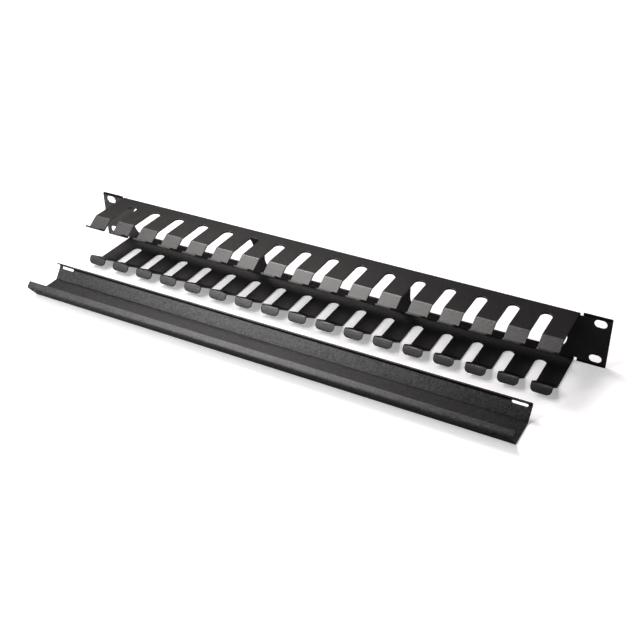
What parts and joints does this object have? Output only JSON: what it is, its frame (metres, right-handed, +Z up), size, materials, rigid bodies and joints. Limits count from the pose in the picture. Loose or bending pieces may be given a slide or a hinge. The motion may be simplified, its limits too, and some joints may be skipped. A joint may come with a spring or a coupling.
{
  "type": "horizontal cable manager",
  "caption": "Rack-mount horizontal cable manager: a folded channel with finger combs above and below, windows in its back and slotted ears, and its clip-on cover lying in front of it.",
  "frame": {"origin": "centre of the rectangle of rack holes, on the rear face of the ears, which is the face that meets the rack's uprights", "axes": "+X to the right seen from the front along the rack unit, +Y into the rack, +Z up"},
  "size_m": [0.4826, 0.1281, 0.044],
  "materials": {
    "powder_coated_steel": "satin",
    "cover_steel": "satin"
  },
  "bodies": {
    "root": {"channel_body": "powder_coated_steel", "clip_cover": "cover_steel"}
  },
  "joints": []
}
